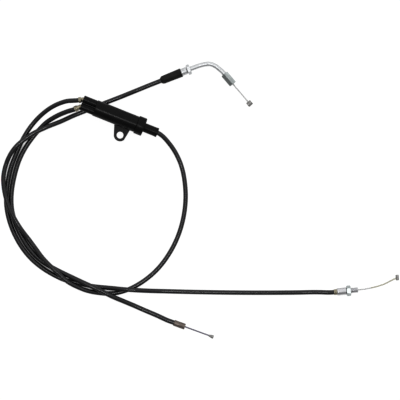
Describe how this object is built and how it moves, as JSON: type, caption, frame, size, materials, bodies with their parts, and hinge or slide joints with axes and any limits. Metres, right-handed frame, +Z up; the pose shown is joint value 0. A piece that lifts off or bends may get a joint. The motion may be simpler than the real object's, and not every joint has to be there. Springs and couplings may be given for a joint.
{
  "type": "motorcycle throttle cable set",
  "caption": "Throttle cable set: a cable with an elbow end enters a junction box with a fixing lug, and sheathed cables leave it for the carburettor and the oil pump.",
  "frame": {"origin": "under the middle of the fittings, on the surface that the cable set lies on", "axes": "+X from the junction box towards the oil pump's end, +Y towards the elbow for the twist grip, +Z up from the surface"},
  "size_m": [0.4378, 0.3047, 0.0232],
  "materials": {
    "black_plastic": "satin moulded nylon",
    "sheath_black": "satin extruded PVC",
    "rubber": "matte",
    "bright_zinc": "bright zinc plated",
    "grey_zinc": "dull zinc plated",
    "cream_zinc": "pale yellow passivated zinc",
    "brown_zinc": "dull brownish passivated zinc",
    "wire_steel": "stranded, bright",
    "cast_zinc": "as cast zinc alloy",
    "white_nylon": "natural nylon"
  },
  "bodies": {
    "casing": {"box_body": "black_plastic", "throttle_sheath": "sheath_black", "pump_sheath": "sheath_black", "carb_sheath": "sheath_black", "pump_port_ferrule": "cream_zinc", "carb_port_ferrule": "cream_zinc", "neck_ferrule": "cream_zinc", "throttle_end_ferrule": "cream_zinc", "elbow_pipe": "bright_zinc", "pump_end_ferrule": "cream_zinc", "carb_end_ferrule": "brown_zinc"},
    "cap": {"box_cap": "black_plastic"},
    "slider_assembly": {"slider": "white_nylon", "slider_throttle_nipple": "cast_zinc", "slider_pump_nipple": "cast_zinc", "slider_carb_nipple": "cast_zinc", "slider_throttle_wire": "wire_steel", "slider_pump_wire": "wire_steel", "slider_carb_wire": "wire_steel"},
    "boot": {"rubber_boot": "rubber"},
    "barrel": {"adjuster_barrel": "bright_zinc"},
    "throttle_lock_nut": {"adjuster_lock_nut": "bright_zinc"},
    "union": {"union_nut": "grey_zinc"},
    "throttle_inner": {"throttle_wire": "wire_steel", "throttle_nipple": "cast_zinc"},
    "pump_thread": {"pump_adjuster": "bright_zinc"},
    "pump_nut": {"pump_lock_nut": "grey_zinc"},
    "pump_inner": {"pump_wire": "wire_steel", "pump_nipple": "cast_zinc"},
    "carb_inner": {"carb_wire": "wire_steel", "carb_nipple": "cast_zinc"}
  },
  "joints": [
    {"name": "throttle_pull", "type": "slide", "parent": "casing", "child": "throttle_inner", "axis": [0.6494, -0.7604, 0], "range_m": [0, 0.015]},
    {"name": "slider_travel", "type": "slide", "parent": "casing", "child": "slider_assembly", "axis": [0.927, -0.368, -0.0722], "range_m": [0, 0.015]},
    {"name": "pump_wire_travel", "type": "slide", "parent": "casing", "child": "pump_inner", "axis": [-0.9537, -0.3009, 0], "range_m": [0, 0.015], "deforming": ["pump_wire"]},
    {"name": "carb_wire_travel", "type": "slide", "parent": "casing", "child": "carb_inner", "axis": [-0.9394, 0.3428, 0], "range_m": [0, 0.015]},
    {"name": "boot_slide", "type": "slide", "parent": "casing", "child": "boot", "axis": [-0.9285, -0.3714, 0], "range_m": [0, 0.02]},
    {"name": "barrel_turn", "type": "hinge", "parent": "casing", "child": "barrel", "pos_m": [-0.0549, 0.1428, 0.005], "axis": [0.9285, 0.3714, 0], "continuous": true},
    {"name": "throttle_lock_nut_turn", "type": "hinge", "parent": "casing", "child": "throttle_lock_nut", "pos_m": [-0.0549, 0.1428, 0.005], "axis": [0.9285, 0.3714, 0], "continuous": true},
    {"name": "union_nut_turn", "type": "hinge", "parent": "casing", "child": "union", "pos_m": [-0.0047, 0.1276, 0.005], "axis": [0.6494, -0.7604, 0], "continuous": true},
    {"name": "cap_turn", "type": "hinge", "parent": "casing", "child": "cap", "pos_m": [-0.1702, 0.1067, 0.01533], "axis": [0.927, -0.368, -0.0722], "continuous": true},
    {"name": "pump_adjuster_turn", "type": "hinge", "parent": "casing", "child": "pump_thread", "pos_m": [0.1098, -0.1011, 0.005], "axis": [0.9954, 0.0958, 0], "continuous": true},
    {"name": "pump_lock_nut_turn", "type": "hinge", "parent": "pump_thread", "child": "pump_nut", "pos_m": [0.1098, -0.1011, 0.005], "axis": [0.9954, 0.0958, 0], "continuous": true}
  ],
  "couplings": [
    {"joint": "slider_travel", "follows": "throttle_pull", "ratio": 1},
    {"joint": "pump_wire_travel", "follows": "throttle_pull", "ratio": 1},
    {"joint": "carb_wire_travel", "follows": "throttle_pull", "ratio": 1}
  ]
}
